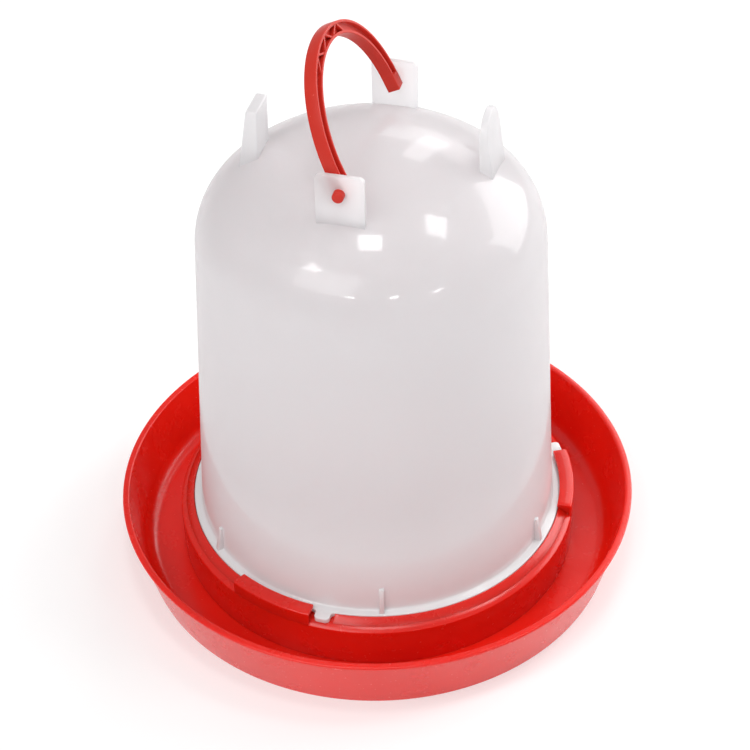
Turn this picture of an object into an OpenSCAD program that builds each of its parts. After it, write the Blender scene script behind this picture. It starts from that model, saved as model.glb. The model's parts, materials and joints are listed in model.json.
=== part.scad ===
// Poultry waterer: a translucent fount twist-locked upside down on a red drinking tray,
// with a swinging bail handle snapped into two ears on its dome.
// Units mm. +Z is up, the Z axis is the axis of the tray, z = 0 is the ground.

/* [Tray] */
// Outer radius of the tray rim
tray_r = 175; // [120:1:220]
// Height of the rim above the ground
tray_h = 45.5; // [30:0.5:70]
// Outer radius of the foot the tray stands on
foot_r = 162.5; // [110:0.5:200]
// Thickness of the tray wall and floor
tray_t = 3; // [2:0.1:5]
// Gap between the floor and the ground
floor_gap = 3; // [1:0.5:10]
// Overhang of the rim bead beyond the wall
bead_out = 2; // [0:0.1:5]
// Height of the rim bead
bead_h = 2.6; // [1:0.1:6]
// Radius of the curve between trough wall and floor
trough_fillet = 10; // [2:0.5:15]

/* [Collar] */
// Outer radius of the collar that carries the fount
collar_r = 135.7; // [100:0.1:160]
// Height of the collar's outer edge
collar_h = 35; // [20:0.5:50]
// Height of the collar's inner lip
lip_h = 40.2; // [25:0.1:55]
// Thickness of the collar's upright wall
collar_t = 3; // [2:0.1:5]
// Top of the raised locking tabs
tab_h = 44.2; // [35:0.1:60]
// Thickness of the locking tabs
tab_t = 3; // [1.5:0.1:5]
// Angle between a lug and the near end of its tab
tab_start = 3.3; // [2:0.1:10]
// Angle between a lug and the far end of its tab
tab_end = 28; // [15:0.5:60]
// Width of the water port through the back of the collar
port_w = 30; // [5:1:40]
// Height of the water port
port_h = 14; // [5:1:25]

/* [Fount] */
// Outer radius of the fount wall where it meets the flange
fount_r = 120.8; // [90:0.1:150]
// Draft of the fount wall in degrees
fount_draft = 3.16; // [0.5:0.01:6]
// Thickness of the fount wall
fount_t = 2.4; // [1.5:0.1:5]
// Height of the centre of the shoulder curve
shoulder_z = 248.7; // [120:0.1:350]
// Radius of the shoulder curve
shoulder_r = 50; // [20:1:80]
// Height of the top of the dome
dome_z = 319.2; // [180:0.1:420]
// Radius of the flange
flange_r = 126.1; // [95:0.1:155]
// Top of the flange
flange_z = 40.4; // [30:0.1:60]
// Thickness of the flange and lugs
flange_t = 3.2; // [2:0.1:6]
// Outer radius of the neck below the flange
neck_r = 119.6; // [85:0.1:150]
// Height of the mouth above the ground, which sets the water level
mouth_z = 16; // [8:0.5:30]
// Radius reached by the locking lugs
lug_r = 133.3; // [100:0.1:155]
// Width of each lug
lug_w = 10; // [5:0.5:25]
// Direction of the first lug from the front
lug_phi = -16.6; // [-60:0.1:60]
// Height of the gussets above the flange
gusset_h = 18; // [5:0.5:40]

/* [Ears and feet] */
// Direction of the near handle ear from the front
ear_phi = -15.2; // [-45:0.1:45]
// Outer face of the handle ears
ear_r = 66.9; // [40:0.1:90]
// Thickness of the handle ears
ear_t = 3; // [2:0.1:6]
// Width of the handle ears
ear_w = 29.2; // [15:0.1:50]
// Top of the ears
ear_z = 335.8; // [200:0.1:420]
// Width of the square filling foot
square_foot_w = 22.8; // [10:0.1:50]
// Width of the round-topped filling foot
round_foot_w = 34; // [10:0.1:50]
// Sideways offset of the round-topped foot
round_foot_shift = 21; // [0:0.5:30]
// Top of the filling feet
foot_top = 335.2; // [200:0.1:420]

/* [Handle] */
// Height of the pins above the ground
pin_z = 324.2; // [200:0.1:420]
// Diameter of the pins
pin_d = 7; // [4:0.1:12]
// Running clearance between pin and ear, on radius
pin_gap = 0.06; // [0.01:0.01:0.1]
// Radius of the arch to the middle of the strap
arch_r = 59.2; // [35:0.1:80]
// Straight length between pins and arch
limb_h = 4.8; // [0:0.1:40]
// Thickness of the strap in the plane of the arch
strap_t = 8.3; // [5:0.1:15]
// Width of the strap across the arch
strap_w = 8; // [5:0.1:30]
// Thickness of the strap's faces and web
strap_web = 1.7; // [1:0.1:4]
// Lean of the handle from upright, to the left
lean = 24.8; // [-75:0.1:75]
// Half angle of the ribbed grip
grip_a = 27; // [10:1:80]

/* [Hidden] */
$fn = 144;
red = [0.80, 0.13, 0.09];
milky = [0.92, 0.90, 0.88, 0.75];
gap = 0.3;                                   // room between the tray and the fount
floor_z = floor_gap + tray_t;
wall_r = tray_r - bead_out;                  // wall under the bead
wall_run = (wall_r - foot_r) / (tray_h - bead_h);
fillet_x = trough_x(floor_z + trough_fillet) - trough_fillet / cos(atan(wall_run));
ledge_z = flange_z - flange_t - gap;         // collar ledge under the flange
ledge_r = neck_r + 2.7;
bore_r = flange_r + 0.5;                     // lip around the flange
tab_in = flange_r - 0.3;
tunnel_r = lug_r + 0.6;
tunnel_top = tab_h - tab_t;
shoulder_x = fount_r - (shoulder_z - flange_z) * tan(fount_draft) - shoulder_r / cos(fount_draft);
crown_r = (pow(shoulder_x, 2) + pow(shoulder_z - dome_z, 2) - pow(shoulder_r, 2))
    / (2 * (dome_z - shoulder_z - shoulder_r));
crown_z = dome_z - crown_r;                  // centre of the crown curve
join_x = crown_r * shoulder_x / (crown_r - shoulder_r);
rib_n = 6;                                   // ribs along each side of the grip
rib_t = 1.3;

// ---- helpers ----

// Turns something built along +X to stand phi degrees round from the front (-Y).
module at(phi) rotate([0, 0, phi - 90]) children();

// Radius of the trough side of the tray wall at height z.
function trough_x(z) = foot_r - tray_t / cos(atan(wall_run)) + wall_run * z;

// Outer radius of the fount wall at height z.
function bell_x(z) = fount_r + (flange_z - z) * tan(fount_draft);

// Half section of the fount's dome, shrunk by t all over, closed at the shoulder.
module dome_half(t) {
    touch = [shoulder_x + (shoulder_r - t) * cos(fount_draft),
             shoulder_z + (shoulder_r - t) * sin(fount_draft)];
    polygon([[0, shoulder_z], [bell_x(shoulder_z) - t / cos(fount_draft), shoulder_z], touch,
             [shoulder_x, shoulder_z + 1], [0, shoulder_z + 1]]);
    intersection() {
        translate([shoulder_x, shoulder_z]) circle(r = shoulder_r - t);
        translate([0, shoulder_z]) square([fount_r, shoulder_r]);
    }
    intersection() {
        translate([0, crown_z]) circle(r = crown_r - t);
        translate([0, shoulder_z]) square([join_x, dome_z - shoulder_z]);
    }
}

// ---- tray ----

module wall_section() {
    toe = trough_x(floor_z);
    slant = atan(wall_run);
    polygon([[fillet_x, floor_gap], [foot_r - tray_t, floor_gap], [foot_r - tray_t, 0], [foot_r, 0],
             [wall_r, tray_h - bead_h], [wall_r, tray_h - bead_h / 2],
             [trough_x(tray_h - bead_h), tray_h - bead_h], [toe, floor_z], [fillet_x, floor_z]]);
    difference() {
        polygon([[fillet_x, floor_z], [toe, floor_z],
                 [fillet_x + trough_fillet * cos(slant),
                  floor_z + trough_fillet * (1 - sin(slant))],
                 [fillet_x, floor_z + trough_fillet]]);
        translate([fillet_x, floor_z + trough_fillet]) circle(r = trough_fillet);
    }
    // rim bead with rounded edges
    bead = bead_h / 2;
    inner = trough_x(tray_h - bead_h) + bead;
    for (x = [inner, tray_r - bead]) translate([x, tray_h - bead]) circle(r = bead);
    translate([inner, tray_h - bead_h]) square([tray_r - bead - inner, bead_h]);
}

module collar_section() {
    edge = 1.2;
    polygon([[ledge_r, ledge_z - tray_t], [ledge_r, ledge_z], [bore_r, ledge_z],
             [bore_r, lip_h], [bore_r + 0.6, lip_h], [collar_r - edge, collar_h],
             [collar_r - edge, collar_h - edge], [collar_r, collar_h - edge],
             [collar_r, floor_z], [collar_r - collar_t, floor_z],
             [collar_r - collar_t, ledge_z - tray_t - 2],
             [collar_r - collar_t - 2, ledge_z - tray_t]]);
    translate([collar_r - edge, collar_h - edge]) circle(r = edge);
}

// One raised tab: a roof over the lug's path and an outer wall under it.
module locking_tab() {
    edge = 1;
    out = collar_r - 0.15;
    rotate([0, 0, -tab_end]) rotate_extrude(angle = tab_end - tab_start) {
        translate([tab_in, tunnel_top]) square([out - edge - tab_in, tab_t]);
        translate([tunnel_r, collar_h - 3]) square([out - tunnel_r, tab_h - edge - collar_h + 3]);
        translate([out - edge, tab_h - edge]) circle(r = edge);
    }
    // stop at the blind end of the tunnel
    rotate([0, 0, 0.4 - tab_end]) rotate_extrude(angle = 2)
        translate([bore_r + 0.3, ledge_z - 1]) square([tunnel_r - bore_r, tab_h - ledge_z]);
}

// The path a lug takes, cut through the lip of the collar.
module lug_path() {
    rotate([0, 0, 2 - tab_end]) rotate_extrude(angle = tab_end - 2 + tab_start)
        translate([bore_r - 0.5, ledge_z - 0.2])
            square([tunnel_r - bore_r, tunnel_top - ledge_z + 0.2]);
}

module tray_floor() color(red)
    translate([0, 0, floor_gap]) cylinder(r = fillet_x, h = tray_t);

module tray_wall() color(red) rotate_extrude() wall_section();

module tray_collar() color(red) {
    difference() {
        rotate_extrude() collar_section();
        for (k = [0:2]) at(lug_phi + 120 * k) lug_path();
        at(180) translate([collar_r - collar_t - 4, -port_w / 2, floor_z - 1])
            cube([collar_t + 8, port_w, port_h + 1]);
    }
    for (k = [0:2]) at(lug_phi + 120 * k) locking_tab();
}

// ---- fount ----

// A lug with rounded tip, flaring into the flange.
module lug() {
    tip = 2.6;
    flare = 2.2;
    root = flange_r - 1;
    translate([0, 0, flange_z - flange_t]) linear_extrude(flange_t) {
        translate([root, -lug_w / 2]) square([lug_r - tip - root, lug_w]);
        for (s = [-1, 1]) {
            translate([lug_r - tip, s * (lug_w / 2 - tip)]) circle(r = tip);
            difference() {
                translate([root, s * (lug_w / 2 + flare / 2) - flare / 2]) square([flare + 0.9, flare]);
                translate([root + flare + 0.9, s * (lug_w / 2 + flare)]) circle(r = flare);
            }
        }
        translate([lug_r - tip, -lug_w / 2 + tip]) square([tip, lug_w - 2 * tip]);
    }
}

module gusset() {
    width = 3.2;
    rotate([90, 0, 0]) translate([0, 0, -width / 2]) linear_extrude(width)
        polygon([[fount_r - 1.8, flange_z], [flange_r - 1.5, flange_z],
                 [flange_r - 1.5, flange_z + 1.5], [fount_r + 0.9, flange_z + gusset_h],
                 [fount_r - 2.4, flange_z + gusset_h]]);
}

// Upright plate across the radius, with rounded top corners.
module plate(r, t, w, z0, z1, corner) {
    translate([r - t, 0, 0]) rotate([90, 0, 90]) linear_extrude(t) {
        translate([-w / 2, z0]) square([w, z1 - corner - z0]);
        translate([-w / 2 + corner, z0]) square([w - 2 * corner, z1 - z0]);
        for (s = [-1, 1]) translate([s * (w / 2 - corner), z1 - corner]) circle(r = corner);
    }
}

module handle_ear() {
    difference() {
        plate(ear_r, ear_t, ear_w, shoulder_z + 40, ear_z, 3);
        translate([0, 0, pin_z]) rotate([0, 90, 0]) cylinder(d = pin_d + 2 * pin_gap, h = ear_r + 1);
    }
}

// Foot the fount stands on while it is filled: thick, and spreading towards the dome.
module filling_foot(w, corner, top_t, root_t) {
    root = shoulder_z + 35;
    intersection() {
        rotate([90, 0, 0]) translate([0, 0, -w]) linear_extrude(2 * w)
            polygon([[67.2, root], [65.6, foot_top], [65.6 + top_t, foot_top], [67.2 + root_t, root]]);
        plate(100, 50, w, root, foot_top, corner);
    }
}

module fount_neck() color(milky) {
    edge = 0.6;
    base = flange_z - flange_t;
    rotate_extrude() {
        translate([neck_r - fount_t, mouth_z]) square([fount_t, flange_z - mouth_z]);
        translate([neck_r - 1, base]) square([flange_r - edge - neck_r + 1, flange_t]);
        translate([neck_r, base]) square([flange_r - neck_r, flange_t - edge]);
        translate([flange_r - edge, flange_z - edge]) circle(r = edge);
    }
    for (k = [0:2]) at(lug_phi + 120 * k) lug();
}

module fount_wall() color(milky) {
    t = fount_t / cos(fount_draft);
    rotate_extrude() polygon([[bell_x(flange_z), flange_z], [bell_x(shoulder_z), shoulder_z],
                              [bell_x(shoulder_z) - t, shoulder_z], [bell_x(flange_z) - t, flange_z]]);
    for (k = [0:5]) at(0.5 + 60 * k) gusset();
}

module fount_dome() color(milky) difference() {
    rotate_extrude() dome_half(0);
    translate([0, 0, -0.5]) rotate_extrude() dome_half(fount_t);
}

module handle_ears() color(milky) difference() {
    for (side = [0, 180]) at(ear_phi + side) handle_ear();
    rotate_extrude() dome_half(0);
}

module filling_feet() color(milky) difference() {
    union() {
        at(ear_phi - 90) filling_foot(square_foot_w, 1.2, 7, 14);
        at(ear_phi + 90) translate([0, round_foot_shift, 0]) filling_foot(round_foot_w, 14.4, 4.4, 10);
    }
    rotate_extrude() dome_half(0);
}

// ---- handle ----

// Section of the strap: two faces joined by a web, open along both sides.
module strap_section() {
    square([strap_t, strap_web], center = true);
    for (s = [-1, 1]) translate([s * (strap_t - strap_web) / 2, 0])
        square([strap_web, strap_w], center = true);
}

// Zigzag ribs across the open sides of the strap.
module grip_ribs() {
    r_in = arch_r - strap_t / 2 + strap_web / 2;
    r_out = arch_r + strap_t / 2 - strap_web / 2;
    step = 2 * grip_a / rib_n;
    for (k = [0:rib_n - 1]) {
        a = 90 - grip_a + k * step;
        from = (k % 2 == 0 ? r_in : r_out) * [cos(a), sin(a)];
        to = (k % 2 == 0 ? r_out : r_in) * [cos(a + step), sin(a + step)];
        run = to - from;
        translate([from[0], from[1], 0]) rotate([0, 0, atan2(run[1], run[0])])
            translate([0, -rib_t / 2, -strap_w / 2 + 0.4]) cube([norm(run), rib_t, strap_w - 0.8]);
    }
}

// A limb: straight strap, solid end and the pin moulded on it.
module limb() {
    end = 4.9;
    solid = 5;
    tip = 1.7;
    reach = ear_r + 3.5;
    translate([arch_r, 0, 0]) rotate([-90, 0, 0]) linear_extrude(limb_h + 0.1) strap_section();
    translate([arch_r - strap_t / 2, -end, -strap_w / 2]) cube([strap_t, end + solid, strap_w]);
    rotate([0, 90, 0]) rotate_extrude() {
        square([pin_d / 2, reach]);
        square([pin_d / 2 - tip, reach + tip]);
        translate([pin_d / 2 - tip, reach]) circle(r = tip);
    }
}

// Built flat with the pins along X and the arch towards +Y, then stood up.
module handle() color(red)
    translate([0, 0, pin_z]) at(ear_phi) rotate([90 + lean, 0, 0]) {
        translate([0, limb_h, 0]) {
            rotate_extrude(angle = 180) translate([arch_r, 0]) strap_section();
            grip_ribs();
        }
        difference() {
            for (side = [0, 1]) mirror([side, 0, 0]) limb();
            cube([2 * (arch_r - strap_t / 2), 40, 40], center = true);
        }
    }

tray_floor();
tray_wall();
tray_collar();
fount_neck();
fount_wall();
fount_dome();
handle_ears();
filling_feet();
handle();
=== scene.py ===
# %% [markdown]
# # A poultry waterer
# A milky fount stands upside down on a red drinking tray and locks there with a short twist.
# A small bail handle swings in two ears on the fount's dome. Water runs out under the fount's
# mouth until the trough is full enough to cover it, and then it stops.
# The real object is three injection mouldings, so most of the work here is in turned shells
# with a true wall thickness, and in two plastics that look nothing like each other.

# %% Load the fixed frame
import json
import math
import bmesh
import bpy
from mathutils import Matrix, Vector


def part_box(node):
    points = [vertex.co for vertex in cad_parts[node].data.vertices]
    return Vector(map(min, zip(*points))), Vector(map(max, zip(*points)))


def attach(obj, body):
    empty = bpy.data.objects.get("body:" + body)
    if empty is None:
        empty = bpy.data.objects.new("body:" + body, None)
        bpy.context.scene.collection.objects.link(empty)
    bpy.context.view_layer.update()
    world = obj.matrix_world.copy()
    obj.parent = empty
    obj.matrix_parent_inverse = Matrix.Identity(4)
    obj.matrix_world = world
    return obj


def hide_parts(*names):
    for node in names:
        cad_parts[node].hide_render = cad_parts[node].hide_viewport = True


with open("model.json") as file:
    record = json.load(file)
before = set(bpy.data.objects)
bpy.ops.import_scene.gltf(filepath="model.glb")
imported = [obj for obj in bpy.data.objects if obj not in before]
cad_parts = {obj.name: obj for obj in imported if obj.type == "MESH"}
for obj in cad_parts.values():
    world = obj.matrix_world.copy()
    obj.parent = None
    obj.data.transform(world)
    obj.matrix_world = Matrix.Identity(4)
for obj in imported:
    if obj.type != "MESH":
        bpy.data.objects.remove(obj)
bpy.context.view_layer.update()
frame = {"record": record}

# %% [markdown]
# ## The sizes that everything hangs on
# Blender works in metres, but a mould maker thinks in millimetres, so every size below is in
# millimetres and is turned into metres where a vertex is made. The large sizes are read from
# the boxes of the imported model, so the looks can never drift away from the frame.

# %% Main sizes
MM = 0.001


def size_of(node, corner, axis):
    """One coordinate of a CAD node's box in millimetres: corner 0 is lowest, 1 is highest."""
    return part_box(node)[corner][axis] / MM


TRAY_R = size_of("tray_wall", 1, 0)            # rim
TRAY_H = size_of("tray_wall", 1, 2)
UNDER_Z = size_of("tray_floor", 0, 2)          # underside of the floor
FLOOR_Z = size_of("tray_floor", 1, 2)          # floor of the trough
TAB_TOP = size_of("tray_collar", 1, 2)
MOUTH_Z = size_of("fount_neck", 0, 2)
FLANGE_Z = size_of("fount_neck", 1, 2)
SHOULDER_Z = size_of("fount_wall", 1, 2)
DOME_Z = size_of("fount_dome", 1, 2)
EAR_TOP = size_of("handle_ears", 1, 2)
FOOT_TOP = size_of("filling_feet", 1, 2)
PIN_Z = frame["record"]["behaviour"]["joints"][1]["pos_m"][2] / MM
print(f"tray {2 * TRAY_R:.1f} across, {TRAY_H:.1f} high; dome {DOME_Z:.1f}; pins {PIN_Z:.1f}")

# %% [markdown]
# ## The camera and the light
# The view looks down on the waterer at about forty degrees, from just over a metre away, with
# a long lens so that the round tray is only a little stronger at the front than at the back.
# The camera's turn is written as pitch, yaw and roll, the way a tripod head is set.

# %% Camera
CAMERA_PLACE = Vector((0.0, -0.93228, 0.91775))
PITCH, YAW, ROLL = math.radians(39.987), math.radians(0.021), math.radians(-1.373)
LENS = 88.56

forward = Vector((math.sin(YAW) * math.cos(PITCH), math.cos(YAW) * math.cos(PITCH), -math.sin(PITCH)))
level = Vector((math.cos(YAW), -math.sin(YAW), 0.0))
upright = level.cross(forward)
camera_x = math.cos(ROLL) * level + math.sin(ROLL) * upright
camera_y = math.cos(ROLL) * upright - math.sin(ROLL) * level
camera = bpy.data.objects.new("camera", bpy.data.cameras.new("camera"))
camera.data.lens = LENS
camera.data.sensor_width = 36.0
camera.data.clip_end = 50.0
camera.matrix_world = Matrix.Translation(CAMERA_PLACE) @ Matrix(
    (camera_x, camera_y, -forward)).transposed().to_4x4()
bpy.context.scene.collection.objects.link(camera)
bpy.context.scene.camera = camera
print("camera at", [round(v, 3) for v in CAMERA_PLACE], "lens", LENS)

# %% [markdown]
# The light is a white studio: a bright even surround that fills every shadow, a wide soft key
# from above and in front, a large low window on the right that shines through the red wall, and
# a few smaller softboxes. The softboxes are there for what they draw on the glossy dome, because
# a milky plastic with no highlight looks like chalk.
# Each one is hung on a line from the waterer, given by how far it stands round from the front
# and how high it stands.

# %% Studio light
world = bpy.data.worlds.new("studio")
world.use_nodes = True
bpy.context.scene.world = world
world.node_tree.nodes["Background"].inputs["Color"].default_value = (1.0, 1.0, 1.0, 1.0)
world.node_tree.nodes["Background"].inputs["Strength"].default_value = 0.42
bpy.context.scene.view_settings.view_transform = "Standard"
bpy.context.scene.view_settings.look = "None"

AIM_Z = 0.2                              # metres above the floor


def softbox(name, round_from_front, height, distance, width, tall, watts):
    """A rectangular area light aimed at the middle of the fount."""
    aim = Vector((0.0, 0.0, AIM_Z))
    a, e = math.radians(round_from_front), math.radians(height)
    away = Vector((math.sin(a) * math.cos(e), -math.cos(a) * math.cos(e), math.sin(e)))
    lamp = bpy.data.lights.new(name, "AREA")
    lamp.shape = "RECTANGLE"
    lamp.size, lamp.size_y, lamp.energy = width, tall, watts
    hung = bpy.data.objects.new(name, lamp)
    turn = away.to_track_quat("Z", "Y").to_matrix().to_4x4()
    hung.matrix_world = Matrix.Translation(aim + distance * away) @ turn
    bpy.context.scene.collection.objects.link(hung)


softbox("key", -36, 46, 2.6, 1.5, 1.3, 20)
softbox("box_left", -55, 56, 2.2, 0.30, 0.26, 3.0)
softbox("box_top", -4, 80, 2.2, 0.40, 0.30, 7)
softbox("box_right", 97, 62, 2.2, 0.40, 0.36, 6)
softbox("strip_left", -15, 32, 2.4, 0.20, 0.08, 1.6)
softbox("strip_middle", 14, 31, 2.4, 0.22, 0.10, 2.0)
softbox("strip_right", 42, 26, 2.4, 0.30, 0.08, 1.8)
softbox("window_behind", 160, 34, 2.6, 0.34, 1.10, 4.5)
softbox("window_right", 120, 20, 2.4, 1.8, 1.4, 34)
softbox("low_behind", 160, 24, 2.8, 1.6, 0.8, 8)

# %% [markdown]
# ## Two plastics
# The tray and the handle are glossy dyed polyethylene; the fount is the same kind of plastic
# with hardly any dye, so light goes into it, scatters and comes out again. What they share is
# how they were moulded. Melt spreads out from a gate, so the colour and the gloss drift in
# wide soft clouds, the skin has a very fine orange peel, and handling leaves a few dull
# specks. That is one shader node group, used by both materials with their own amounts.

# %% The moulded skin, shared by both plastics


def socket(tree, name, kind, way, value=None):
    made = tree.interface.new_socket(name=name, in_out=way, socket_type=kind)
    if value is not None:
        made.default_value = value
    return made


def math_node(tree, operation, first, second, clamp=False):
    node = tree.nodes.new("ShaderNodeMath")
    node.operation, node.use_clamp = operation, clamp
    for slot, value in ((0, first), (1, second)):
        if isinstance(value, (int, float)):
            node.inputs[slot].default_value = value
        else:
            tree.links.new(value, node.inputs[slot])
    return node.outputs[0]


def noise_node(tree, place, scale, detail, roughness=0.5):
    node = tree.nodes.new("ShaderNodeTexNoise")
    node.inputs["Scale"].default_value = scale
    node.inputs["Detail"].default_value = detail
    node.inputs["Roughness"].default_value = roughness
    tree.links.new(place, node.inputs["Vector"])
    return node.outputs["Fac"]


def band_node(tree, value, low, high):
    """Spreads a value between low and high over 0 to 1, smoothly."""
    node = tree.nodes.new("ShaderNodeMapRange")
    node.interpolation_type = "SMOOTHSTEP"
    node.inputs["From Min"].default_value = low
    node.inputs["From Max"].default_value = high
    tree.links.new(value, node.inputs["Value"])
    return node.outputs["Result"]


moulded_skin = bpy.data.node_groups.new("moulded_skin", "ShaderNodeTree")
socket(moulded_skin, "Colour", "NodeSocketColor", "INPUT", (0.8, 0.8, 0.8, 1))
socket(moulded_skin, "Cloud colour", "NodeSocketColor", "INPUT", (0.7, 0.7, 0.7, 1))
socket(moulded_skin, "Speck colour", "NodeSocketColor", "INPUT", (0.9, 0.9, 0.9, 1))
socket(moulded_skin, "Clouds", "NodeSocketFloat", "INPUT", 0.5)
socket(moulded_skin, "Specks", "NodeSocketFloat", "INPUT", 0.2)
socket(moulded_skin, "Gloss low", "NodeSocketFloat", "INPUT", 0.2)
socket(moulded_skin, "Gloss high", "NodeSocketFloat", "INPUT", 0.35)
socket(moulded_skin, "Colour", "NodeSocketColor", "OUTPUT")
socket(moulded_skin, "Roughness", "NodeSocketFloat", "OUTPUT")
socket(moulded_skin, "Height", "NodeSocketFloat", "OUTPUT")

given = moulded_skin.nodes.new("NodeGroupInput").outputs
handed = moulded_skin.nodes.new("NodeGroupOutput").inputs
place = moulded_skin.nodes.new("ShaderNodeTexCoord").outputs["Object"]

CLOUD_SCALE, FLOW_SCALE, SPECK_SCALE, PEEL_SCALE = 14.0, 46.0, 520.0, 850.0      # per metre
SPECKS_DULL, FLOW_HEIGHT = 0.35, 1.6     # roughness on a speck; depth of the flow beside the peel
clouds = band_node(moulded_skin, noise_node(moulded_skin, place, CLOUD_SCALE, 3.0), 0.34, 0.68)
flow = noise_node(moulded_skin, place, FLOW_SCALE, 4.0, 0.6)
specks = band_node(moulded_skin, noise_node(moulded_skin, place, SPECK_SCALE, 2.0), 0.70, 0.78)
peel = noise_node(moulded_skin, place, PEEL_SCALE, 2.0)

cloudy = moulded_skin.nodes.new("ShaderNodeMix")
cloudy.data_type = "RGBA"
cloud_share = math_node(moulded_skin, "MULTIPLY", clouds, given["Clouds"])
moulded_skin.links.new(cloud_share, cloudy.inputs["Factor"])
moulded_skin.links.new(given["Colour"], cloudy.inputs["A"])
moulded_skin.links.new(given["Cloud colour"], cloudy.inputs["B"])
speckled = moulded_skin.nodes.new("ShaderNodeMix")
speckled.data_type = "RGBA"
speck_share = math_node(moulded_skin, "MULTIPLY", specks, given["Specks"])
moulded_skin.links.new(speck_share, speckled.inputs["Factor"])
moulded_skin.links.new(cloudy.outputs["Result"], speckled.inputs["A"])
moulded_skin.links.new(given["Speck colour"], speckled.inputs["B"])
moulded_skin.links.new(speckled.outputs["Result"], handed["Colour"])

gloss = moulded_skin.nodes.new("ShaderNodeMapRange")
moulded_skin.links.new(flow, gloss.inputs["Value"])
gloss.inputs["From Min"].default_value = 0.3
gloss.inputs["From Max"].default_value = 0.7
moulded_skin.links.new(given["Gloss low"], gloss.inputs["To Min"])
moulded_skin.links.new(given["Gloss high"], gloss.inputs["To Max"])
dulled = math_node(moulded_skin, "MULTIPLY", speck_share, SPECKS_DULL)
roughness = math_node(moulded_skin, "ADD", gloss.outputs["Result"], dulled, clamp=True)
moulded_skin.links.new(roughness, handed["Roughness"])
flow_height = math_node(moulded_skin, "MULTIPLY", flow, FLOW_HEIGHT)
moulded_skin.links.new(math_node(moulded_skin, "ADD", peel, flow_height), handed["Height"])
print("group", moulded_skin.name, "with", len(moulded_skin.nodes), "nodes")

# %% [markdown]
# A turned part also keeps the marks of the mould's own turning: very fine rings round its
# axis. They show as faint streaks in a highlight and nowhere else, so this second group puts
# out a height only. The distance from the axis drives a noise in one dimension, which gives
# rings of uneven depth, as a lathe leaves them.

# %% Turning rings, for parts made round the Z axis
turned_rings = bpy.data.node_groups.new("turned_rings", "ShaderNodeTree")
socket(turned_rings, "Rings per metre", "NodeSocketFloat", "INPUT", 500.0)
socket(turned_rings, "Height", "NodeSocketFloat", "OUTPUT")
ring_in = turned_rings.nodes.new("NodeGroupInput").outputs
ring_out = turned_rings.nodes.new("NodeGroupOutput").inputs
ring_place = turned_rings.nodes.new("ShaderNodeTexCoord").outputs["Object"]
flat_place = turned_rings.nodes.new("ShaderNodeVectorMath")
flat_place.operation = "MULTIPLY"
flat_place.inputs[1].default_value = (1, 1, 0)
turned_rings.links.new(ring_place, flat_place.inputs[0])
reach = turned_rings.nodes.new("ShaderNodeVectorMath")
reach.operation = "LENGTH"
turned_rings.links.new(flat_place.outputs["Vector"], reach.inputs[0])
tall = turned_rings.nodes.new("ShaderNodeSeparateXYZ")
turned_rings.links.new(ring_place, tall.inputs["Vector"])
along = math_node(turned_rings, "SUBTRACT", reach.outputs["Value"], tall.outputs["Z"])
ring_noise = turned_rings.nodes.new("ShaderNodeTexNoise")
ring_noise.noise_dimensions = "1D"
ring_noise.inputs["Detail"].default_value = 2.0
ring_noise.inputs["Scale"].default_value = 1.0
ring_count = math_node(turned_rings, "MULTIPLY", along, ring_in["Rings per metre"])
turned_rings.links.new(ring_count, ring_noise.inputs["W"])
turned_rings.links.new(ring_noise.outputs["Fac"], ring_out["Height"])
print("group", turned_rings.name)

# %% [markdown]
# Each material starts the same way: the skin group feeds colour and roughness, and its height
# together with the rings goes through one Bump node. The numbers that are the same all over,
# such as the index of refraction, stay on the shader's own sockets.

# %% A moulded material


def moulded(name, colour, cloud, speck, clouds, specks, gloss, rings, peel_height):
    """A material with the moulded skin wired in; returns it with its shader and its tree."""
    material = bpy.data.materials.new(name)
    material.use_nodes = True
    tree = material.node_tree
    shader = tree.nodes["Principled BSDF"]
    skin = tree.nodes.new("ShaderNodeGroup")
    skin.node_tree = moulded_skin
    skin.inputs["Colour"].default_value = (*colour, 1)
    skin.inputs["Cloud colour"].default_value = (*cloud, 1)
    skin.inputs["Speck colour"].default_value = (*speck, 1)
    skin.inputs["Clouds"].default_value = clouds
    skin.inputs["Specks"].default_value = specks
    skin.inputs["Gloss low"].default_value, skin.inputs["Gloss high"].default_value = gloss
    tree.links.new(skin.outputs["Colour"], shader.inputs["Base Color"])
    tree.links.new(skin.outputs["Roughness"], shader.inputs["Roughness"])
    bump = tree.nodes.new("ShaderNodeBump")
    bump.inputs["Strength"].default_value = 0.35
    bump.inputs["Distance"].default_value = peel_height
    height = skin.outputs["Height"]
    if rings:
        turning = tree.nodes.new("ShaderNodeGroup")
        turning.node_tree = turned_rings
        turning.inputs["Rings per metre"].default_value = rings
        height = math_node(tree, "ADD", height, turning.outputs["Height"])
    tree.links.new(height, bump.inputs["Height"])
    tree.links.new(bump.outputs["Normal"], shader.inputs["Normal"])
    return material, shader, tree


RED = (0.76, 0.014, 0.006)
RED_CLOUD = (0.66, 0.011, 0.005)
RED_SPECK = (0.80, 0.10, 0.07)

tray_red, tray_shader, _ = moulded(
    "tray_red", RED, RED_CLOUD, RED_SPECK, 0.55, 0.35, (0.20, 0.30), 420.0, 0.00010)
tray_shader.inputs["IOR"].default_value = 1.47
tray_shader.inputs["Subsurface Weight"].default_value = 0.5
tray_shader.inputs["Subsurface Radius"].default_value = (1.0, 0.12, 0.06)
tray_shader.inputs["Subsurface Scale"].default_value = 0.008

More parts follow.
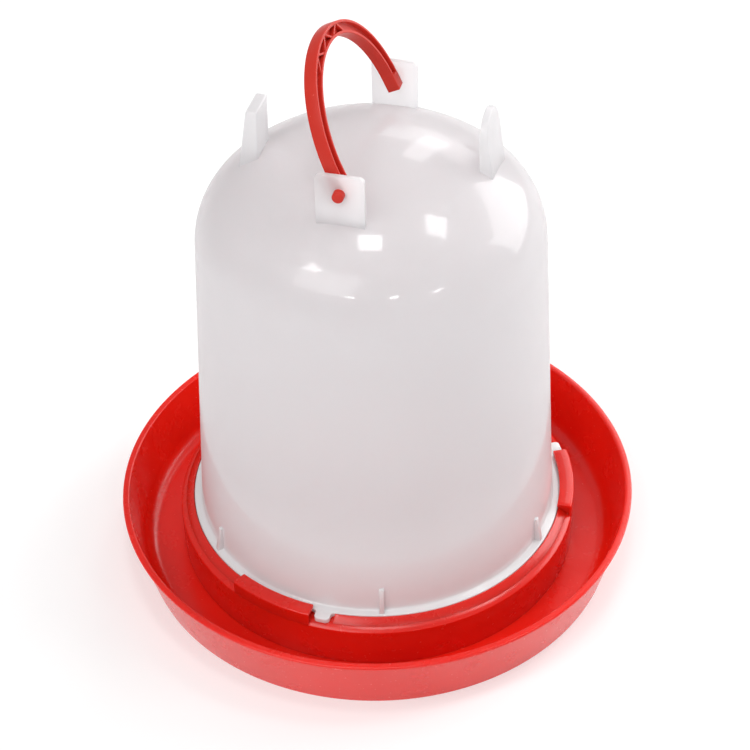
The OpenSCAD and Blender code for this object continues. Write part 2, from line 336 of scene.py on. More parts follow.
HANDLE_RED = (0.60, 0.034, 0.020)
HANDLE_CLOUD = (0.52, 0.025, 0.015)
HANDLE_SPECK = (0.84, 0.16, 0.12)
handle_red, handle_shader, _ = moulded(
    "handle_red", HANDLE_RED, HANDLE_CLOUD, HANDLE_SPECK, 0.6, 0.4, (0.32, 0.42), 0.0, 0.00009)
handle_shader.inputs["IOR"].default_value = 1.42
handle_shader.inputs["Specular IOR Level"].default_value = 0.3
handle_shader.inputs["Subsurface Weight"].default_value = 0.10
handle_shader.inputs["Subsurface Radius"].default_value = (1.0, 0.3, 0.2)
handle_shader.inputs["Subsurface Scale"].default_value = 0.002
print("reds", tray_red.name, handle_red.name)

# %% [markdown]
# The milky plastic is a mix of two shaders. The Principled one is the glossy skin, with a
# little rough transmission so that something close behind shows as a blur. The Translucent one
# passes light straight through and scatters it, which is what makes the lower wall glow pink
# where the red floor and collar stand close behind it. The moulding is thickest at the flange,
# so near its foot less light passes and more is thrown back.

# %% Milky plastic for the fount
MILK = (0.955, 0.952, 0.960)
MILK_CLOUD = (0.925, 0.922, 0.930)
MILK_SPECK = (1.0, 0.99, 0.99)
THICK_RISE = 95.0                        # height over which the thick foot thins out
CLEARNESS = 0.50                         # transmission of the thin wall
GLOW_LOW, GLOW_RISE = 0.28, 0.22         # translucent share at the flange, and what the wall adds

fount_milk, milk_shader, milk_tree = moulded(
    "fount_milk", MILK, MILK_CLOUD, MILK_SPECK, 0.5, 0.3, (0.30, 0.42), 260.0, 0.00012)
milk_shader.inputs["IOR"].default_value = 1.50
milk_shader.inputs["Coat Weight"].default_value = 0.9
milk_shader.inputs["Coat Roughness"].default_value = 0.07
glow = milk_tree.nodes.new("ShaderNodeBsdfTranslucent")
glow.inputs["Color"].default_value = (0.975, 0.968, 0.975, 1)
milk_mix = milk_tree.nodes.new("ShaderNodeMixShader")
milk_place = milk_tree.nodes.new("ShaderNodeTexCoord").outputs["Object"]
milk_height = milk_tree.nodes.new("ShaderNodeSeparateXYZ")
milk_tree.links.new(milk_place, milk_height.inputs["Vector"])
thin = band_node(milk_tree, milk_height.outputs["Z"], FLANGE_Z * MM, (FLANGE_Z + THICK_RISE) * MM)
clear_share = math_node(milk_tree, "MULTIPLY", thin, CLEARNESS)
milk_tree.links.new(clear_share, milk_shader.inputs["Transmission Weight"])
glow_gain = math_node(milk_tree, "MULTIPLY", thin, GLOW_RISE)
milk_tree.links.new(math_node(milk_tree, "ADD", glow_gain, GLOW_LOW), milk_mix.inputs["Fac"])
milk_tree.links.new(milk_shader.outputs["BSDF"], milk_mix.inputs[1])
milk_tree.links.new(glow.outputs["BSDF"], milk_mix.inputs[2])
milk_tree.links.new(milk_mix.outputs["Shader"], milk_tree.nodes["Material Output"].inputs["Surface"])
print("milk", fount_milk.name)

# %% [markdown]
# ## Tools for making the pieces
# A mould maker draws a section and turns it. The Section helper does the same: it starts from
# one vertex, pulls the next one out of it with extrude, sweeps arcs with spin, and rounds a
# corner with a vertex bevel. The section is drawn in the X-Z plane, and turning it round Z with
# a full spin gives a shell that is closed on itself.

# %% Drawing a section


class Section:
    """A cross-section drawn point by point in the X-Z plane, in millimetres."""

    def __init__(self, x, z):
        self.bm = bmesh.new()
        self.tip = bmesh.ops.create_vert(self.bm, co=(x * MM, 0, z * MM))["vert"][0]
        self.first = self.tip
        self.corners = []

    def to(self, x, z, soft=0.0):
        """A straight line to x, z; soft is the radius that its corner gets."""
        self.tip = bmesh.ops.extrude_vert_indiv(self.bm, verts=[self.tip])["verts"][0]
        self.tip.co = (x * MM, 0, z * MM)
        if soft:
            self.corners.append((self.tip, soft))
        return self

    def arc(self, x, z, degrees, steps):
        """An arc round x, z; positive degrees turn from up towards +X."""
        spun = bmesh.ops.spin(self.bm, geom=[self.tip], cent=(x * MM, 0, z * MM), axis=(0, 1, 0),
                              dvec=(0, 0, 0), angle=math.radians(degrees), steps=steps,
                              use_duplicate=False)
        self.tip = spun["geom_last"][0]
        return self

    def close(self):
        """Joins the last point to the first."""
        bmesh.ops.contextual_create(self.bm, geom=[self.tip, self.first])
        return self

    def rounded(self, segments=4):
        """Rounds the corners that asked for it: an arc of radius r starts r / tan(half) away."""
        for vert, radius in self.corners:
            a, b = [e.other_vert(vert).co - vert.co for e in vert.link_edges]
            back = radius * MM / math.tan(a.angle(b) / 2)
            back = min(back, 0.48 * a.length, 0.98 * b.length)       # never past the next corner
            bmesh.ops.bevel(self.bm, geom=[vert], offset=back, offset_type="OFFSET",
                            segments=segments, profile=0.5, affect="VERTICES", material=-1)
        self.corners = []
        return self.bm


def turned(bm, steps=192):
    """Turns a section all the way round Z and closes its poles."""
    bmesh.ops.spin(bm, geom=bm.verts[:] + bm.edges[:], cent=(0, 0, 0), axis=(0, 0, 1), dvec=(0, 0, 0),
                   angle=2 * math.pi, steps=steps, use_merge=True, use_duplicate=False)
    bmesh.ops.remove_doubles(bm, verts=bm.verts[:], dist=1e-6)
    bmesh.ops.recalc_face_normals(bm, faces=bm.faces[:])
    return bm


def swept(bm, start, sweep, step_degrees=1.5):
    """Turns a closed section part of the way round, from start, and caps both its ends."""
    to_start = Matrix.Rotation(math.radians(start), 3, "Z")
    bmesh.ops.rotate(bm, verts=bm.verts[:], cent=(0, 0, 0), matrix=to_start)
    steps = max(2, round(sweep / step_degrees))
    bmesh.ops.spin(bm, geom=bm.verts[:] + bm.edges[:], cent=(0, 0, 0), axis=(0, 0, 1), dvec=(0, 0, 0),
                   angle=math.radians(sweep), steps=steps, use_duplicate=False)
    bmesh.ops.holes_fill(bm, edges=[e for e in bm.edges if e.is_boundary], sides=0)
    bmesh.ops.recalc_face_normals(bm, faces=bm.faces[:])
    return bm


print("section tools ready")

# %% [markdown]
# Directions round the waterer are counted in degrees from the front, counter-clockwise seen
# from above. A plain angle in Blender starts at +X, a quarter turn further on, so one helper
# turns a direction into an angle and another into the matrix that carries a piece there.

# %% Places round the axis, edges and finished pieces


def turn_of(from_front):
    return from_front - 90.0


def round_to(from_front):
    return Matrix.Rotation(math.radians(turn_of(from_front)), 4, "Z")


def soften(bm, radius, segments=2, sharper_than=40.0, spared=()):
    """Bevels every edge where two faces meet more sharply than the given angle, but the spared."""
    sharp = [e for e in bm.edges
             if e not in spared and e.is_manifold and e.calc_face_angle() > math.radians(sharper_than)]
    bmesh.ops.bevel(bm, geom=sharp, offset=radius * MM, offset_type="OFFSET", segments=segments,
                    profile=0.5, affect="EDGES", clamp_overlap=True, material=-1)
    return bm

TRUE_CORNER = 38.0                       # degrees, past which an edge is shaded as a corner


def finish_piece(name, bm, body, material, stands_for=()):
    """Makes the object, shades it smooth except at true corners, hangs it on its body and hides the CAD
    parts that it stands for.
    """
    open_edges = sum(1 for e in bm.edges if not e.is_manifold)
    faces, volume = len(bm.faces), bm.calc_volume() / MM ** 3
    mesh = bpy.data.meshes.new(name)
    bm.to_mesh(mesh)
    bm.free()
    mesh.polygons.foreach_set("use_smooth", [True] * len(mesh.polygons))
    mesh.set_sharp_from_angle(angle=math.radians(TRUE_CORNER))
    mesh.materials.append(material)
    made = bpy.data.objects.new(name, mesh)
    bpy.context.scene.collection.objects.link(made)
    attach(made, body)
    if stands_for:
        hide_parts(*stands_for)
    print(f"{name}: {faces} faces, {volume:.0f} mm3, {open_edges} open edges")


# %% [markdown]
# ## The tray
# The trough is one turned shell: a flat floor, a curve up into a wall that leans outwards so
# that trays stack, a rim bead with a small overhang that a hand can grip, and a foot ring that
# keeps the floor off the ground. Drawing the whole outline and turning it once gives the real
# thickness everywhere, which a single sheet with a Solidify would not at the rim and the foot.

# %% Trough
FOOT_R, WALL = 162.5, 3.0
BEAD_OUT, BEAD_H = 2.0, 2.6
TROUGH_CURVE = 10.0
FOOT_SOFT, UNDER_SOFT, BEAD_SOFT = 0.8, 1.0, 1.2
lean_out = (TRAY_R - BEAD_OUT - FOOT_R) / (TRAY_H - BEAD_H)      # outward run per mm of height
wall_skew = WALL * math.sqrt(1 + lean_out ** 2)


def trough_side(z):
    """Radius of the trough side of the wall at height z."""
    return FOOT_R - wall_skew + lean_out * z


trough = Section(0, UNDER_Z)
trough.to(FOOT_R - WALL, UNDER_Z, UNDER_SOFT).to(FOOT_R - WALL, 0, FOOT_SOFT).to(FOOT_R, 0, FOOT_SOFT)
trough.to(TRAY_R - BEAD_OUT, TRAY_H - BEAD_H, 0.4).to(TRAY_R, TRAY_H - BEAD_H, 1.0)
trough.to(TRAY_R, TRAY_H, BEAD_SOFT).to(trough_side(TRAY_H), TRAY_H, BEAD_SOFT)
trough.to(trough_side(FLOOR_Z), FLOOR_Z, TROUGH_CURVE).to(0, FLOOR_Z)
finish_piece("tray_trough", turned(trough.rounded(8), 240), "tray", tray_red,
             ("tray_floor", "tray_wall"))

# %% [markdown]
# ## The collar
# The collar stands on the floor inside the trough and carries the fount's flange on a ledge.
# Its wall is one turned ring. The water port is an arch through the back of that ring: the
# faces between two heights are taken away on both sides of the wall, and the two holes that
# this leaves are joined with bridge_loops.

# %% Collar ring with its water port
COLLAR_R, COLLAR_T = 135.7, 3.0
LEDGE_Z = FLANGE_Z - 3.5                 # a flange thickness and 0.3 mm of room
LEDGE_IN, LEDGE_T = 122.3, 3.0
LIP_IN, LIP_TOP, LIP_FLAT = 126.6, 40.2, 0.6
SLOPE_FOOT = 35.0                        # height at which the slope turns down into the wall
SLANT = (LIP_TOP - SLOPE_FOOT) / (COLLAR_R - 1.2 - (LIP_IN + LIP_FLAT))     # fall of the outer slope
PORT_FOOT, PORT_HEAD, PORT_HALF = FLOOR_Z + 0.3, FLOOR_Z + 14.0, 14.2


def slope_z(x):
    """Height of the collar's outer slope at radius x."""
    return LIP_TOP - SLANT * (x - LIP_IN - LIP_FLAT)


RING_TOP = LEDGE_Z - 0.2
ring_edge = LIP_IN + LIP_FLAT + (LIP_TOP - RING_TOP) / SLANT
ring = Section(COLLAR_R, FLOOR_Z - 0.2)
ring.to(COLLAR_R, PORT_FOOT).to(COLLAR_R, PORT_HEAD).to(COLLAR_R, slope_z(COLLAR_R), 1.1)
ring.to(ring_edge, RING_TOP).to(LIP_IN, RING_TOP).to(LIP_IN, LEDGE_Z).to(LEDGE_IN, LEDGE_Z, 0.4)
ring.to(LEDGE_IN, LEDGE_Z - LEDGE_T, 0.4).to(COLLAR_R - COLLAR_T - 2, LEDGE_Z - LEDGE_T, 1.0)
ring.to(COLLAR_R - COLLAR_T, LEDGE_Z - LEDGE_T - 2, 1.0).to(COLLAR_R - COLLAR_T, PORT_HEAD)
ring.to(COLLAR_R - COLLAR_T, PORT_FOOT).to(COLLAR_R - COLLAR_T, FLOOR_Z - 0.2).close()
ring_bm = turned(ring.rounded(5), 240)
middle = [(f, f.calc_center_median() / MM) for f in ring_bm.faces]
port_faces = [f for f, c in middle
              if c.y > 0 and abs(c.x) < PORT_HALF and PORT_FOOT < c.z < PORT_HEAD and abs(f.normal.z) < 0.1]
bmesh.ops.delete(ring_bm, geom=port_faces, context="FACES")
bmesh.ops.bridge_loops(ring_bm, edges=[e for e in ring_bm.edges if e.is_boundary])
bmesh.ops.recalc_face_normals(ring_bm, faces=ring_bm.faces[:])
finish_piece("collar_ring", ring_bm, "tray", tray_red, ("tray_collar",))
print("port through", len(port_faces), "faces")

# %% [markdown]
# Three lips rise round the flange and keep it central. Between them are the gates where the
# fount's lugs drop in. From each gate a raised tab runs away clockwise: a roof and an outer
# wall that hold the lug down once the fount is twisted, with a stop at the blind end.
# They are all arcs of the same turning, so each is a short section swept through its own angle.

# %% Lips, locking tabs and stops
LUG_PHI, STATIONS = -16.6, 3
TAB_NEAR, TAB_FAR = 3.3, 28.0
TAB_T, TAB_ROOT = 3.0, 32.0              # roof thickness, and height of the outer wall's foot
STOP_SWEEP, STOP_BACK = 2.0, 0.4         # degrees that a stop fills, and its place inside the end
STOP_SINK = 0.6
TUNNEL_R, TAB_IN = 133.9, 125.8
tunnel_top = TAB_TOP - TAB_T
tab_out = COLLAR_R - 0.15

for station in range(STATIONS):
    gate = turn_of(LUG_PHI + 120.0 * station)

    lip = Section(LIP_IN, RING_TOP - 0.3)
    lip.to(LIP_IN, LIP_TOP, 0.25).to(LIP_IN + LIP_FLAT, LIP_TOP, 0.35)
    lip.to(ring_edge - 0.03, RING_TOP + 0.02).to(ring_edge - 0.3, RING_TOP - 0.3).close()
    lip_bm = swept(lip.rounded(3), gate + TAB_NEAR, 120.0 - TAB_FAR + 2.0 - TAB_NEAR)
    finish_piece(f"collar_lip_{station + 1}", soften(lip_bm, 0.35, 2, 50), "tray", tray_red)

    tab = Section(tab_out, TAB_ROOT)
    tab.to(tab_out, TAB_TOP, 1.1).to(TAB_IN, TAB_TOP, 0.5).to(TAB_IN, tunnel_top, 0.3)
    tab.to(TUNNEL_R, tunnel_top, 0.5).to(TUNNEL_R, TAB_ROOT).close()
    tab_bm = swept(tab.rounded(4), gate - TAB_FAR, TAB_FAR - TAB_NEAR)
    finish_piece(f"locking_tab_{station + 1}", soften(tab_bm, 0.6, 3, 50), "tray", tray_red)

    stop = Section(LIP_IN + 0.3, RING_TOP - STOP_SINK)
    stop.to(TUNNEL_R + 0.5, RING_TOP - STOP_SINK).to(TUNNEL_R + 0.5, TAB_TOP - STOP_SINK)
    stop.to(LIP_IN + 0.3, TAB_TOP - STOP_SINK).close()
    stop_bm = swept(stop.bm, gate - TAB_FAR + STOP_BACK, STOP_SWEEP, 0.5)
    finish_piece(f"tunnel_stop_{station + 1}", stop_bm, "tray", tray_red)

# %% [markdown]
# ## The fount
# The fount is blow-thin for its size, 2.4 mm, and everything seen through it depends on that,
# so its outline is drawn outside and inside. The dome is two arcs that flow into each other: a
# wide crown and a tighter shoulder, and the wall below draws in a little towards the top so
# that the moulding leaves its tool. Where the two arcs meet, both centres and the meeting
# point stand on one line, which is how the angle between them is found.

# %% Bell: dome, wall, flange and neck
FOUNT_R, FOUNT_T, DRAFT = 120.8, 2.4, math.radians(3.16)
SHOULDER_R = 50.0
FLANGE_R, FLANGE_T, NECK_R = 126.1, 3.2, 119.6
shoulder_x = FOUNT_R - (SHOULDER_Z - FLANGE_Z) * math.tan(DRAFT) - SHOULDER_R / math.cos(DRAFT)
crown_r = ((shoulder_x ** 2 + (SHOULDER_Z - DOME_Z) ** 2 - SHOULDER_R ** 2)
           / (2 * (DOME_Z - SHOULDER_Z - SHOULDER_R)))
crown_z = DOME_Z - crown_r
meet = math.degrees(math.atan2(shoulder_x, SHOULDER_Z - crown_z))
bend = 90.0 - math.degrees(DRAFT) - meet
inner_foot = FOUNT_R - FOUNT_T / math.cos(DRAFT)

bell = Section(0, DOME_Z)
bell.arc(0, crown_z, meet, 22).arc(shoulder_x, SHOULDER_Z, bend, 20)
bell.to(FOUNT_R + 0.02, FLANGE_Z, 1.6).to(FLANGE_R, FLANGE_Z, 0.7)
bell.to(FLANGE_R, FLANGE_Z - FLANGE_T, 0.7).to(NECK_R, FLANGE_Z - FLANGE_T, 0.8)
bell.to(NECK_R, MOUTH_Z, 0.9).to(NECK_R - FOUNT_T, MOUTH_Z, 0.9)
bell.to(NECK_R - FOUNT_T, FLANGE_Z - 1.5).to(inner_foot, FLANGE_Z + 1.5)
inner_shoulder = SHOULDER_R - FOUNT_T
bell.to(shoulder_x + inner_shoulder * math.cos(DRAFT), SHOULDER_Z + inner_shoulder * math.sin(DRAFT))
bell.arc(shoulder_x, SHOULDER_Z, -bend, 20).arc(0, crown_z, -meet, 22)
finish_piece("fount_bell", turned(bell.rounded(4), 240), "fount", fount_milk,
             ("fount_neck", "fount_wall", "fount_dome"))
print(f"crown radius {crown_r:.1f}, shoulder meets it {meet:.1f} degrees from the top")

# %% [markdown]
# Three lugs on the flange do the locking. Each is a small tongue with round corners at its tip
# and a flare at its root, so that it does not snap off. The flare is a hollow quarter circle
# that is drawn point by point, because a vertex bevel only rounds a corner that sticks out. The
# tip's two corners are bevelled, and the outline is pulled up to the flange's thickness.

# %% Locking lugs
LUG_ROOT, LUG_REACH = 124.5, 133.3
LUG_HALF, LUG_TIP, LUG_FLARE = 5.0, 2.6, 2.2
FLARE_STEPS = 6


def plate_from(outline, rounding, thickness, along):
    """A flat outline with rounded corners, pulled out by thickness along a direction.

    outline is a list of corner points in millimetres and rounding the radius of each."""
    bm = bmesh.new()
    corners = [bmesh.ops.create_vert(bm, co=[v * MM for v in point])["vert"][0] for point in outline]
    bmesh.ops.contextual_create(bm, geom=corners)
    for corner, radius in zip(corners, rounding):
        if radius:
            bmesh.ops.bevel(bm, geom=[corner], offset=radius * MM, offset_type="OFFSET", segments=6,
                            profile=0.5, affect="VERTICES", material=-1)
    pulled = bmesh.ops.extrude_face_region(bm, geom=bm.faces[:], use_keep_orig=True)
    bmesh.ops.translate(bm, verts=[g for g in pulled["geom"] if isinstance(g, bmesh.types.BMVert)],
                        vec=Vector(along) * thickness * MM)
    bmesh.ops.recalc_face_normals(bm, faces=bm.faces[:])
    return bm


lug_fillet = [(FLANGE_R + LUG_FLARE * (1 - math.cos(t)), LUG_HALF + LUG_FLARE * (1 - math.sin(t)))
              for t in (math.radians(90 * k / FLARE_STEPS) for k in range(FLARE_STEPS + 1))]
lug_half = [(LUG_ROOT, LUG_HALF + LUG_FLARE)] + lug_fillet + [(LUG_REACH, LUG_HALF)]
lug_foot = FLANGE_Z - FLANGE_T
lug_outline = [(x, -y, lug_foot) for x, y in lug_half] + [(x, y, lug_foot) for x, y in reversed(lug_half)]
sharp_corners = [0] * (len(lug_half) - 1)
lug_rounding = sharp_corners + [LUG_TIP] * 2 + sharp_corners

for station in range(STATIONS):
    lug = soften(plate_from(lug_outline, lug_rounding, FLANGE_T - 0.05, (0, 0, 1)), 0.5, 2, 60)
    bmesh.ops.transform(lug, matrix=round_to(LUG_PHI + 120.0 * station), verts=lug.verts[:])
    finish_piece(f"locking_lug_{station + 1}", lug, "fount", fount_milk)

# %% [markdown]
# Six small gussets brace the flange against the wall. Each is a thin triangle that stands on
# the flange and dies into the wall above, buried a little in both so that no gap shows.

# %% Flange gussets
GUSSET_H, GUSSET_W = 18.0, 3.2
GUSSET_BACK, GUSSET_TOE = 1.3, 1.6       # how far the toe stands in from the flange's edge, and up
GUSSETS, GUSSET_PHI = 6, 0.5
gusset_out = FLANGE_R - GUSSET_BACK
gusset_outline = [(FOUNT_R - 1.9, 0, FLANGE_Z - 0.5), (gusset_out, 0, FLANGE_Z - 0.5),
                  (gusset_out, 0, FLANGE_Z + GUSSET_TOE), (FOUNT_R + 0.7, 0, FLANGE_Z + GUSSET_H),
                  (FOUNT_R - 2.2, 0, FLANGE_Z + GUSSET_H)]
for k in range(GUSSETS):
    gusset = plate_from(gusset_outline, [0] * len(gusset_outline), GUSSET_W, (0, 1, 0))
    bmesh.ops.translate(gusset, verts=gusset.verts[:], vec=(0, -GUSSET_W / 2 * MM, 0))
    soften(gusset, 0.5, 2, 30)
    bmesh.ops.transform(gusset, matrix=round_to(GUSSET_PHI + 360.0 / GUSSETS * k), verts=gusset.verts[:])
    finish_piece(f"gusset_{k + 1}", gusset, "fount", fount_milk)

# %% [markdown]
# ## Ears and filling feet
# Two ears stand up from the dome and hold the handle's pins. An ear is a flat plate with a
# round hole, so its face is the region between an outline and a circle: bridge_loops joins the
# two loops of edges, and one extrude gives the thickness. The outline's edges are softened and
# the hole's are left sharp, so that the pin keeps its room. The foot of the plate is sunk into
# the wall of the dome without coming out on the inside.

# %% Handle ears
EAR_PHI, EAR_R, EAR_T, EAR_W = -15.2, 66.9, 3.0, 29.2
PIN_R, PIN_ROOM, PIN_STEPS = 3.5, 0.06, 48
EAR_CORNER, EAR_SINK = 3.0, 0.2
EAR_SEAT = crown_z + math.sqrt(crown_r ** 2 - EAR_R ** 2 - (EAR_W / 2) ** 2) - EAR_SINK
ear_inner = (EAR_R - EAR_T) * MM
hole_place = Matrix.Translation((ear_inner, 0, PIN_Z * MM)) @ Matrix.Rotation(math.pi / 2, 4, "Y")
bore_middle = Vector(((EAR_R - EAR_T / 2) * MM, 0, PIN_Z * MM))

for name, side in (("handle_ear_front", 0.0), ("handle_ear_back", 180.0)):
    ear = bmesh.new()
    corners = [bmesh.ops.create_vert(ear, co=(ear_inner, y * EAR_W / 2 * MM, z * MM))["vert"][0]
               for y, z in ((-1, EAR_SEAT), (1, EAR_SEAT), (1, EAR_TOP), (-1, EAR_TOP))]
    bmesh.ops.contextual_create(ear, geom=corners)
    bmesh.ops.bevel(ear, geom=corners[2:], offset=EAR_CORNER * MM, offset_type="OFFSET", segments=8,
                    profile=0.5, affect="VERTICES", material=-1)
    bmesh.ops.delete(ear, geom=ear.faces[:], context="FACES_ONLY")
    rim = ear.edges[:]
    hole = bmesh.ops.create_circle(ear, cap_ends=False, radius=(PIN_R + PIN_ROOM) * MM,
                                   segments=PIN_STEPS, matrix=hole_place)
    bore = list({e for v in hole["verts"] for e in v.link_edges})
    bmesh.ops.bridge_loops(ear, edges=rim + bore)
    pulled = bmesh.ops.extrude_face_region(ear, geom=ear.faces[:], use_keep_orig=True)
    bmesh.ops.translate(ear, verts=[g for g in pulled["geom"] if isinstance(g, bmesh.types.BMVert)],
                        vec=(EAR_T * MM, 0, 0))
    bmesh.ops.recalc_face_normals(ear, faces=ear.faces[:])
    bore_edges = {e for e in ear.edges
                  if all((v.co - bore_middle).length < 2 * PIN_R * MM for v in e.verts)}
    soften(ear, 0.35, 2, 60, bore_edges)
    bmesh.ops.transform(ear, matrix=round_to(EAR_PHI + side), verts=ear.verts[:])
    finish_piece(name, ear, "fount", fount_milk, ("handle_ears",) if side == 0 else ())

# %% [markdown]
# When the fount is turned over to be filled it stands on two feet and the ears. The feet are
# thick plates that spread towards the dome. One has square corners; the other is wider, is
# rounded like a thumb and stands a little to one side. Each is drawn as an upright plate and
# its sides are spread. bisect_plane then cuts it off along the slope of the dome, a little
# under the surface, so that it grows out of the wall without coming through it.

# %% Filling feet
FOOT_IN, FOOT_ROOT_IN = 65.6, 67.2
FOOT_ROOT = SHOULDER_Z + 35.0
SINK = 1.25


def filling_foot(name, width, corner, top_t, root_t, aside, from_front, stands_for=()):
    """A foot on a plate's inner face, spreading from top_t to root_t thick."""
    outline = [(FOOT_IN, aside + y * width / 2, z) for y, z in
               ((-1, FOOT_ROOT), (1, FOOT_ROOT), (1, FOOT_TOP), (-1, FOOT_TOP))]
    foot = plate_from(outline, [0, 0, corner, corner], top_t, (1, 0, 0))
    for v in foot.verts:
        down = (FOOT_TOP - v.co.z / MM) / (FOOT_TOP - FOOT_ROOT)
        outer = v.co.x > (FOOT_IN + 0.1) * MM
        v.co.x += down * (FOOT_ROOT_IN - FOOT_IN + (root_t - top_t if outer else 0.0)) * MM
    middle_x = FOOT_ROOT_IN + root_t / 2 - 1
    dome_out = Vector((middle_x, aside, math.sqrt(crown_r ** 2 - middle_x ** 2 - aside ** 2))).normalized()
    bmesh.ops.bisect_plane(foot, geom=foot.verts[:] + foot.edges[:] + foot.faces[:],
                           plane_co=(Vector((0, 0, crown_z)) + (crown_r - SINK) * dome_out) * MM,
                           plane_no=dome_out, clear_inner=True)
    bmesh.ops.holes_fill(foot, edges=[e for e in foot.edges if e.is_boundary], sides=0)
    bmesh.ops.recalc_face_normals(foot, faces=foot.faces[:])
    soften(foot, 0.9, 3, 50)
    bmesh.ops.transform(foot, matrix=round_to(from_front), verts=foot.verts[:])
    finish_piece(name, foot, "fount", fount_milk, stands_for)


SQUARE_W, SQUARE_CORNER, SQUARE_TOP_T, SQUARE_ROOT_T = 22.8, 1.2, 7.0, 14.0
ROUND_W, ROUND_CORNER, ROUND_TOP_T, ROUND_ROOT_T, ROUND_ASIDE = 34.0, 14.4, 4.4, 10.0, 21.0
filling_foot("filling_foot_square", SQUARE_W, SQUARE_CORNER, SQUARE_TOP_T, SQUARE_ROOT_T,
             0.0, EAR_PHI - 90.0, ("filling_feet",))
filling_foot("filling_foot_round", ROUND_W, ROUND_CORNER, ROUND_TOP_T, ROUND_ROOT_T,
             ROUND_ASIDE, EAR_PHI + 90.0)

# %% [markdown]
# ## The handle
# The handle is a bail with an I-shaped strap: two faces joined by a web, open along both
# sides, which is stiff and uses little plastic. It is made flat, with the pins along X and the
# arch towards +Y, and then stood up and leaned over. The strap's section is drawn once and
# spun half a turn round the middle of the arch.

# %% Strap
ARCH_R, LIMB_H = 59.2, 4.8
STRAP_T, STRAP_W, STRAP_WEB = 8.3, 8.0, 1.7
LEAN = 24.8
handle_place = (Matrix.Translation((0, 0, PIN_Z * MM)) @ round_to(EAR_PHI)
                @ Matrix.Rotation(math.radians(90.0 + LEAN), 4, "X"))
half_t, half_w, face_in, web = STRAP_T / 2, STRAP_W / 2, STRAP_T / 2 - STRAP_WEB, STRAP_WEB / 2

EDGE_SOFT, LIP_SOFT, ROOT_SOFT = 0.45, 0.3, 0.4      # outer edges, channel lips, channel roots
strap = Section(ARCH_R - half_t, -half_w)
strap.corners.append((strap.first, EDGE_SOFT))
strap.to(ARCH_R - face_in, -half_w, LIP_SOFT).to(ARCH_R - face_in, -web, ROOT_SOFT)
strap.to(ARCH_R + face_in, -web, ROOT_SOFT).to(ARCH_R + face_in, -half_w, LIP_SOFT)
strap.to(ARCH_R + half_t, -half_w, EDGE_SOFT).to(ARCH_R + half_t, half_w, EDGE_SOFT)
strap.to(ARCH_R + face_in, half_w, LIP_SOFT).to(ARCH_R + face_in, web, ROOT_SOFT)
strap.to(ARCH_R - face_in, web, ROOT_SOFT).to(ARCH_R - face_in, half_w, LIP_SOFT)
strap.to(ARCH_R - half_t, half_w, EDGE_SOFT).close()
strap_bm = swept(strap.rounded(3), 0.0, 180.0, 1.8)
bmesh.ops.translate(strap_bm, verts=strap_bm.verts[:], vec=(0, LIMB_H * MM, 0))
bmesh.ops.transform(strap_bm, matrix=handle_place, verts=strap_bm.verts[:])
finish_piece("handle_strap", strap_bm, "handle", handle_red, ("handle",))

# %% [markdown]
# In the open sides of the arch a zigzag of thin ribs crosses from face to face. It keeps the
# two faces apart when a full fount hangs from it. Every rib is a small bevelled block, laid
# along the line from one face to the other.

# %% Grip ribs
GRIP_HALF, RIBS, RIB_T = 27.0, 6, 1.3
RIB_SET_IN = 0.8                         # how much narrower a rib is than the strap
rib_in = ARCH_R - half_t + STRAP_WEB / 2
rib_out = ARCH_R + half_t - STRAP_WEB / 2
ribs_bm = bmesh.new()
step = 2 * GRIP_HALF / RIBS
for k in range(RIBS):
    a, b = math.radians(90.0 - GRIP_HALF + k * step), math.radians(90.0 - GRIP_HALF + (k + 1) * step)
    near, far = (rib_in, rib_out) if k % 2 == 0 else (rib_out, rib_in)
    begin = Vector((near * math.cos(a), near * math.sin(a), 0))
    end = Vector((far * math.cos(b), far * math.sin(b), 0))
    run = end - begin
    lay = (Matrix.Translation((begin + end) / 2 * MM)
           @ Matrix.Rotation(math.atan2(run.y, run.x), 4, "Z")
           @ Matrix.Diagonal((run.length * MM, RIB_T * MM, (STRAP_W - RIB_SET_IN) * MM, 1)))
    bmesh.ops.create_cube(ribs_bm, size=1.0, matrix=lay)
soften(ribs_bm, 0.2, 2, 60)
bmesh.ops.translate(ribs_bm, verts=ribs_bm.verts[:], vec=(0, LIMB_H * MM, 0))
bmesh.ops.transform(ribs_bm, matrix=handle_place, verts=ribs_bm.verts[:])
finish_piece("handle_ribs", ribs_bm, "handle", handle_red)

# %% [markdown]
# Each limb ends in a solid block with the pin moulded on its outer side. The pin's tip is well
# rounded, because the ears are sprung apart over it when the handle is snapped in.

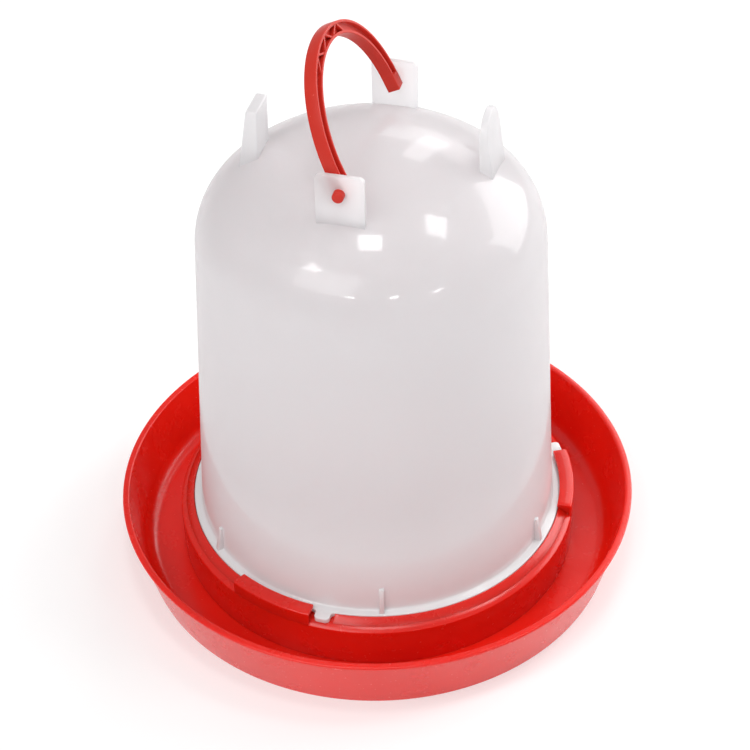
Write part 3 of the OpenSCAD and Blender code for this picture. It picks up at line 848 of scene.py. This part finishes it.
# %% Limb ends and pins
END_DOWN, END_UP = 4.9, 5.0
PIN_OUT, PIN_TIP = EAR_R + 5.2, 1.7
for name, side in (("front", 1.0), ("back", -1.0)):
    block = bmesh.new()
    bmesh.ops.create_cube(block, size=1.0, matrix=(
        Matrix.Translation((side * ARCH_R * MM, (END_UP - END_DOWN) / 2 * MM, 0))
        @ Matrix.Diagonal((STRAP_T * MM, (END_UP + END_DOWN) * MM, STRAP_W * MM, 1))))
    soften(block, EDGE_SOFT, 3, 60)
    bmesh.ops.transform(block, matrix=handle_place, verts=block.verts[:])
    finish_piece(f"limb_end_{name}", block, "handle", handle_red)

    pin = bmesh.new()
    length = PIN_OUT - ARCH_R
    pin_place = (Matrix.Translation((side * (ARCH_R + length / 2) * MM, 0, 0))
                 @ Matrix.Rotation(side * math.pi / 2, 4, "Y"))
    bmesh.ops.create_cone(pin, cap_ends=True, cap_tris=False, segments=PIN_STEPS, radius1=PIN_R * MM,
                          radius2=PIN_R * MM, depth=length * MM, matrix=pin_place)
    tip = [e for e in pin.edges if all(abs(v.co.x) > (PIN_OUT - 0.01) * MM for v in e.verts)]
    bmesh.ops.bevel(pin, geom=tip, offset=PIN_TIP * MM, offset_type="OFFSET", segments=5, profile=0.5,
                    affect="EDGES", material=-1)
    bmesh.ops.recalc_face_normals(pin, faces=pin.faces[:])
    bmesh.ops.transform(pin, matrix=handle_place, verts=pin.verts[:])
    finish_piece(f"pin_{name}", pin, "handle", handle_red)

# %% [markdown]
# ## The studio floor
# A plain white sheet, large enough to fill the view, with a faint drift in its tone so that
# the soft shadow under the tray has something to lie on.

# %% Floor
FLOOR_HALF = 9.0                         # metres from the middle to a side
floor_bm = bmesh.new()
bmesh.ops.create_grid(floor_bm, x_segments=1, y_segments=1, size=FLOOR_HALF)
floor_mesh = bpy.data.meshes.new("studio_floor")
floor_bm.to_mesh(floor_mesh)
floor_bm.free()
studio_floor = bpy.data.objects.new("studio_floor", floor_mesh)
bpy.context.scene.collection.objects.link(studio_floor)
paper = bpy.data.materials.new("studio_paper")
paper.use_nodes = True
paper_shader = paper.node_tree.nodes["Principled BSDF"]
paper_shader.inputs["Roughness"].default_value = 0.9
paper_shader.inputs["Specular IOR Level"].default_value = 0.1
paper_shader.inputs["Emission Color"].default_value = (1, 1, 1, 1)
paper_shader.inputs["Emission Strength"].default_value = 0.38
paper_place = paper.node_tree.nodes.new("ShaderNodeTexCoord").outputs["Object"]
paper_tone = noise_node(paper.node_tree, paper_place, 1.5, 2.0)
paper_mix = paper.node_tree.nodes.new("ShaderNodeMix")
paper_mix.data_type = "RGBA"
paper_mix.inputs["A"].default_value = (0.62, 0.62, 0.62, 1)
paper_mix.inputs["B"].default_value = (0.66, 0.66, 0.66, 1)
paper.node_tree.links.new(paper_tone, paper_mix.inputs["Factor"])
paper.node_tree.links.new(paper_mix.outputs["Result"], paper_shader.inputs["Base Color"])
floor_mesh.materials.append(paper)
print("floor", 2 * FLOOR_HALF, "metres square")
